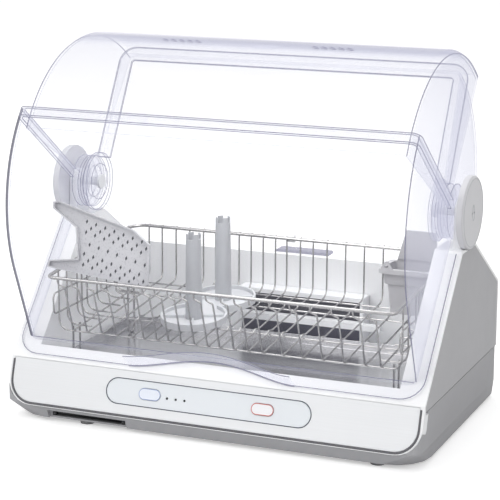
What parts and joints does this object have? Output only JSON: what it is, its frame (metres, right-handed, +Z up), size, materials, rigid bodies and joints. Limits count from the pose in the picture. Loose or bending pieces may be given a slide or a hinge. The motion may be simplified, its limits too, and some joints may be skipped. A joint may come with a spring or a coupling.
{
  "type": "electric dish dryer",
  "caption": "Counter-top electric dish dryer: clear three-piece barrel hood over a wire basket, on a white and grey base with a front control strip.",
  "frame": {"origin": "middle of the bottom of the whole object, on the table", "axes": "+Z up, +X to the right seen from the front, +Y to the back"},
  "size_m": [0.495, 0.332, 0.4197],
  "materials": {
    "upper_shell": "satin white moulding",
    "lower_base": "fine-grained grey moulding",
    "side_panel_left": "fine-grained light grey",
    "side_panel_right": "fine-grained light grey",
    "front_panel": "silver, finely brushed look",
    "control_plate": "smooth pale blue-grey film",
    "timer_button": "soft pale blue",
    "power_button": "pale, ringed in red",
    "lamp_1": "small dark lens",
    "lamp_2": "small dark lens",
    "lamp_3": "small dark lens",
    "control_board": "green circuit board",
    "front_cover": "clear, faintly blue",
    "upper_cover": "clear, faintly blue",
    "rear_cover": "clear, faintly blue",
    "hinge_cap_left": "light grey",
    "hinge_cap_right": "light grey",
    "hinge_pin_left": "turned steel",
    "hinge_pin_right": "turned steel",
    "basket_front": "bright stainless wire",
    "basket_back": "bright stainless wire",
    "basket_floor": "bright stainless wire",
    "basket_left": "bright stainless wire",
    "basket_right": "bright stainless wire",
    "basket_clip": "white",
    "drain_tray": "bright stainless sheet",
    "cup_stand": "white",
    "cup_tube_front": "satin grey",
    "cup_tube_rear": "satin grey",
    "cutlery_holder": "satin grey",
    "side_tray": "speckled light grey",
    "air_outlet": "white",
    "fan_housing": "grey",
    "fan_wheel": "black",
    "fan_motor": "steel can",
    "heater": "finned block",
    "intake_filter": "black foam",
    "cord_gland": "black",
    "drip_tray": "grey",
    "foot_1": "grey rubber",
    "base_screw_1": "zinc-plated",
    "foot_2": "grey rubber",
    "base_screw_2": "zinc-plated",
    "foot_3": "grey rubber",
    "base_screw_3": "zinc-plated",
    "foot_4": "grey rubber",
    "base_screw_4": "zinc-plated"
  },
  "bodies": {
    "body": {"upper_shell": "upper_shell", "lower_base": "lower_base", "side_panel_left": "side_panel_left", "side_panel_right": "side_panel_right", "front_panel": "front_panel", "control_plate": "control_plate", "lamp_1": "lamp_1", "lamp_2": "lamp_2", "lamp_3": "lamp_3", "control_board": "control_board", "hinge_cap_left": "hinge_cap_left", "hinge_cap_right": "hinge_cap_right", "hinge_pin_left": "hinge_pin_left", "hinge_pin_right": "hinge_pin_right", "basket_front": "basket_front", "basket_back": "basket_back", "basket_floor": "basket_floor", "basket_left": "basket_left", "basket_right": "basket_right", "basket_clip": "basket_clip", "drain_tray": "drain_tray", "cup_stand": "cup_stand", "cup_tube_front": "cup_tube_front", "cup_tube_rear": "cup_tube_rear", "cutlery_holder": "cutlery_holder", "side_tray": "side_tray", "air_outlet": "air_outlet", "fan_housing": "fan_housing", "fan_motor": "fan_motor", "heater": "heater", "intake_filter": "intake_filter", "cord_gland": "cord_gland", "foot_1": "foot_1", "base_screw_1": "base_screw_1", "foot_2": "foot_2", "base_screw_2": "base_screw_2", "foot_3": "foot_3", "base_screw_3": "base_screw_3", "foot_4": "foot_4", "base_screw_4": "base_screw_4"},
    "front_cover": {"front_cover": "front_cover"},
    "upper_cover": {"upper_cover": "upper_cover"},
    "rear_cover": {"rear_cover": "rear_cover"},
    "timer_button": {"timer_button": "timer_button"},
    "power_button": {"power_button": "power_button"},
    "drip_tray": {"drip_tray": "drip_tray"},
    "fan_wheel": {"fan_wheel": "fan_wheel"}
  },
  "joints": [
    {"name": "front_cover_hinge", "type": "hinge", "parent": "body", "child": "front_cover", "pos_m": [0, 0.0161, 0.2455], "axis": [-1, 0, 0], "range_deg": [0, 85]},
    {"name": "upper_cover_hinge", "type": "hinge", "parent": "body", "child": "upper_cover", "pos_m": [0, 0.0161, 0.2455], "axis": [-1, 0, 0], "range_deg": [0, 58]},
    {"name": "rear_cover_hinge", "type": "hinge", "parent": "body", "child": "rear_cover", "pos_m": [0, 0.0161, 0.2455], "axis": [1, 0, 0], "range_deg": [0, 80]},
    {"name": "timer_button_press", "type": "slide", "parent": "body", "child": "timer_button", "axis": [0, 0.9516, -0.3074], "range_m": [0, 0.001], "stiffness_N_per_m": 400},
    {"name": "power_button_press", "type": "slide", "parent": "body", "child": "power_button", "axis": [0, 0.9516, -0.3074], "range_m": [0, 0.001], "stiffness_N_per_m": 400},
    {"name": "drip_tray_slide", "type": "slide", "parent": "body", "child": "drip_tray", "axis": [0, -1, 0], "range_m": [0, 0.09]},
    {"name": "fan_spin", "type": "hinge", "parent": "body", "child": "fan_wheel", "pos_m": [0.15, 0.0761, 0.025], "axis": [0, 0, 1], "continuous": true}
  ]
}
